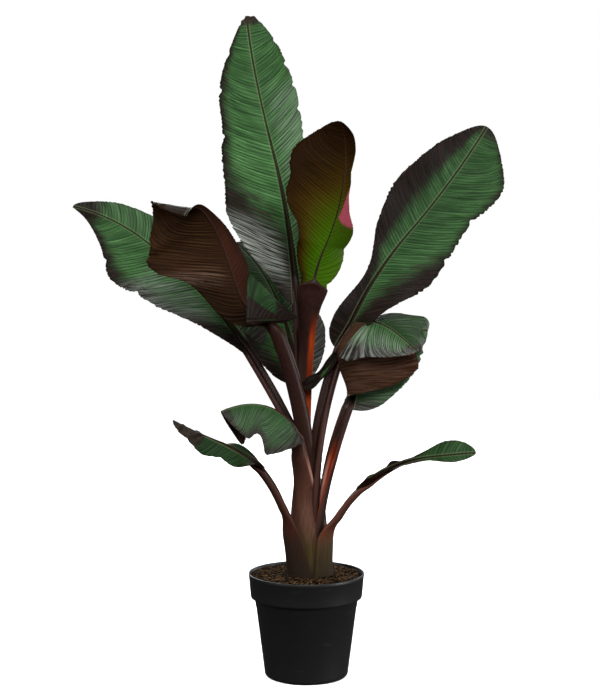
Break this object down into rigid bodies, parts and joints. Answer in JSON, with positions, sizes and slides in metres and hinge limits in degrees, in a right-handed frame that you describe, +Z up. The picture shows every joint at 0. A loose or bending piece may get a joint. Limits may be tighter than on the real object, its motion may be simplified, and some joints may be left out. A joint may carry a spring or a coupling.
{
  "type": "potted red banana plant",
  "caption": "Potted red ornamental banana plant: a pseudostem of rolled leaf sheaths in a black nursery pot, with channelled stalks and broad ribbed leaves, some folded over.",
  "frame": {"origin": "centre of the pot's flat underside", "axes": "+Z up along the pot's axis, -Y towards the viewer of the picture, +X to the viewer's right"},
  "size_m": [0.9137, 0.402, 1.3781],
  "materials": {
    "pot": "black moulded plastic, fine matt skin",
    "compost": "moist brown compost with bark chips",
    "pseudostem": "smooth waxy red-brown leaf sheaths",
    "petiole": "glossy dark red stalk",
    "leaf": "satin green leaf with purple margins and a maroon underside"
  },
  "bodies": {
    "root": {"pot": "pot", "compost": "compost", "pseudostem": "pseudostem", "petiole_tall": "petiole", "petiole_young": "petiole", "petiole_right": "petiole", "petiole_far_left": "petiole", "petiole_brown": "petiole", "petiole_folded": "petiole", "petiole_low_left": "petiole", "petiole_front": "petiole", "petiole_low_right": "petiole", "petiole_back": "petiole", "leaf_tall": "leaf", "leaf_young": "leaf", "leaf_right": "leaf", "leaf_far_left": "leaf", "leaf_brown": "leaf", "leaf_folded": "leaf", "leaf_folded_tip": "leaf", "leaf_low_left": "leaf", "leaf_front": "leaf", "leaf_low_right": "leaf", "leaf_back": "leaf", "leaf_strip": "leaf", "leaf_lap": "leaf"}
  },
  "joints": []
}
